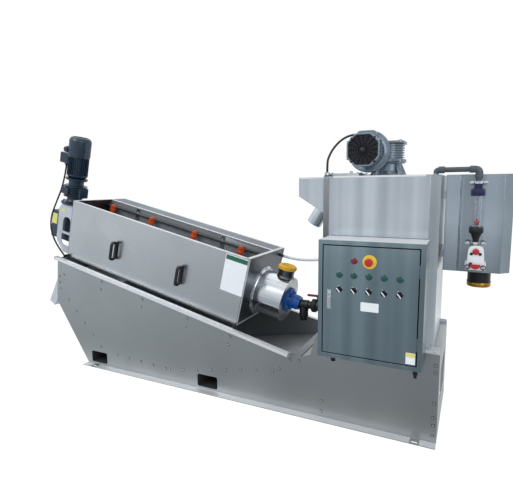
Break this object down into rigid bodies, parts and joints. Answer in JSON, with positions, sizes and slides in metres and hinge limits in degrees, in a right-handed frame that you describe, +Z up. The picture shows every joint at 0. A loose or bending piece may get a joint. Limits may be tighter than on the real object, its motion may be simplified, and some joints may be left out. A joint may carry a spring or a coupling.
{
  "type": "sludge dewatering screw press",
  "caption": "Inclined multi-ring screw press in a stainless housing on a sheet frame, with mixing tank, metering box, pipework and a hinged-door control cabinet.",
  "frame": {"origin": "centre of the four anchor slots, on the floor under the base flanges", "axes": "+Z up, +X along the machine towards the mixing tank, -Y is the side with the control cabinet"},
  "size_m": [3.3959, 0.888, 1.702],
  "materials": {
    "stainless": "satin brushed stainless sheet",
    "polished_stainless": "polished stainless",
    "navy_paint": "satin dark blue paint",
    "silver_paint": "satin light grey paint",
    "stand_paint": "satin pale grey paint",
    "black_plastic": "matt",
    "grey_plastic": "satin",
    "orange_plastic": "gloss",
    "yellow_plastic": "gloss",
    "blue_plastic": "gloss",
    "red_plastic": "gloss",
    "green_lens": "gloss lens",
    "white_plastic": "gloss",
    "clear_plastic": "clear",
    "black_rubber": "cable sheath",
    "hose": "translucent hose"
  },
  "bodies": {
    "machine": {"front_side_plate": "stainless", "rear_side_plate": "stainless", "frame_end_plate": "stainless", "discharge_end_plate": "stainless", "frame_cross_members": "stainless", "filtrate_trough": "stainless", "cake_chute": "stainless", "housing_front_cover": "stainless", "housing_rear_cover": "stainless", "housing_drive_wall": "stainless", "housing_inlet_wall": "stainless", "splash_guard": "stainless", "spray_header": "stainless", "spray_nozzles": "orange_plastic", "screw_drum": "stainless", "screw_shaft": "stainless", "cover_handles": "black_plastic", "inlet_chamber": "polished_stainless", "inspection_cap": "yellow_plastic", "blue_coupling": "blue_plastic", "sludge_pipe": "black_plastic", "drive_stand": "stand_paint", "screw_gearbox": "navy_paint", "screw_motor": "navy_paint", "screw_motor_cowl": "navy_paint", "mixing_tank": "stainless", "mixing_tank_lid": "stainless", "overflow_box": "stainless", "mixer_gearbox": "silver_paint", "mixer_motor": "silver_paint", "mixer_motor_cowl": "silver_paint", "metering_box": "stainless", "metering_outlet": "black_plastic", "mounting_brackets": "stainless", "flow_meter_tube": "clear_plastic", "dosing_pipe": "grey_plastic", "lower_union": "grey_plastic", "dosing_valve": "white_plastic", "cabinet_body": "stainless", "screw_motor_cable": "black_rubber", "mixer_motor_cable": "black_rubber", "wash_hose": "hose"},
    "door": {"cabinet_door": "stainless", "indicator_lamps": "green_lens", "door_lock": "polished_stainless", "stop_ring": "yellow_plastic"},
    "stop_button_body": {"stop_button": "red_plastic"},
    "valve_lever_body": {"valve_lever": "red_plastic"},
    "selector_1_body": {"selector_1": "black_plastic"},
    "selector_2_body": {"selector_2": "black_plastic"},
    "selector_3_body": {"selector_3": "black_plastic"},
    "selector_4_body": {"selector_4": "black_plastic"},
    "selector_5_body": {"selector_5": "black_plastic"}
  },
  "joints": [
    {"name": "door_hinge", "type": "hinge", "parent": "machine", "child": "door", "pos_m": [1.111, -0.492, 0], "axis": [0, 0, 1], "range_deg": [0, 110]},
    {"name": "stop_button_press", "type": "slide", "parent": "door", "child": "stop_button_body", "axis": [0, 1, 0], "range_m": [0, 0.005]},
    {"name": "selector_1_turn", "type": "hinge", "parent": "door", "child": "selector_1_body", "pos_m": [0.746, -0.492, 0.792], "axis": [0, -1, 0], "range_deg": [-90, 0]},
    {"name": "selector_2_turn", "type": "hinge", "parent": "door", "child": "selector_2_body", "pos_m": [0.817, -0.492, 0.792], "axis": [0, -1, 0], "range_deg": [-90, 0]},
    {"name": "selector_3_turn", "type": "hinge", "parent": "door", "child": "selector_3_body", "pos_m": [0.888, -0.492, 0.792], "axis": [0, -1, 0], "range_deg": [-90, 0]},
    {"name": "selector_4_turn", "type": "hinge", "parent": "door", "child": "selector_4_body", "pos_m": [0.959, -0.492, 0.792], "axis": [0, -1, 0], "range_deg": [-90, 0]},
    {"name": "selector_5_turn", "type": "hinge", "parent": "door", "child": "selector_5_body", "pos_m": [1.03, -0.492, 0.792], "axis": [0, -1, 0], "range_deg": [-90, 0]},
    {"name": "valve_lever_turn", "type": "hinge", "parent": "machine", "child": "valve_lever_body", "pos_m": [0.482, 0, 0.607], "axis": [0, 0, 1], "range_deg": [0, 90]}
  ]
}
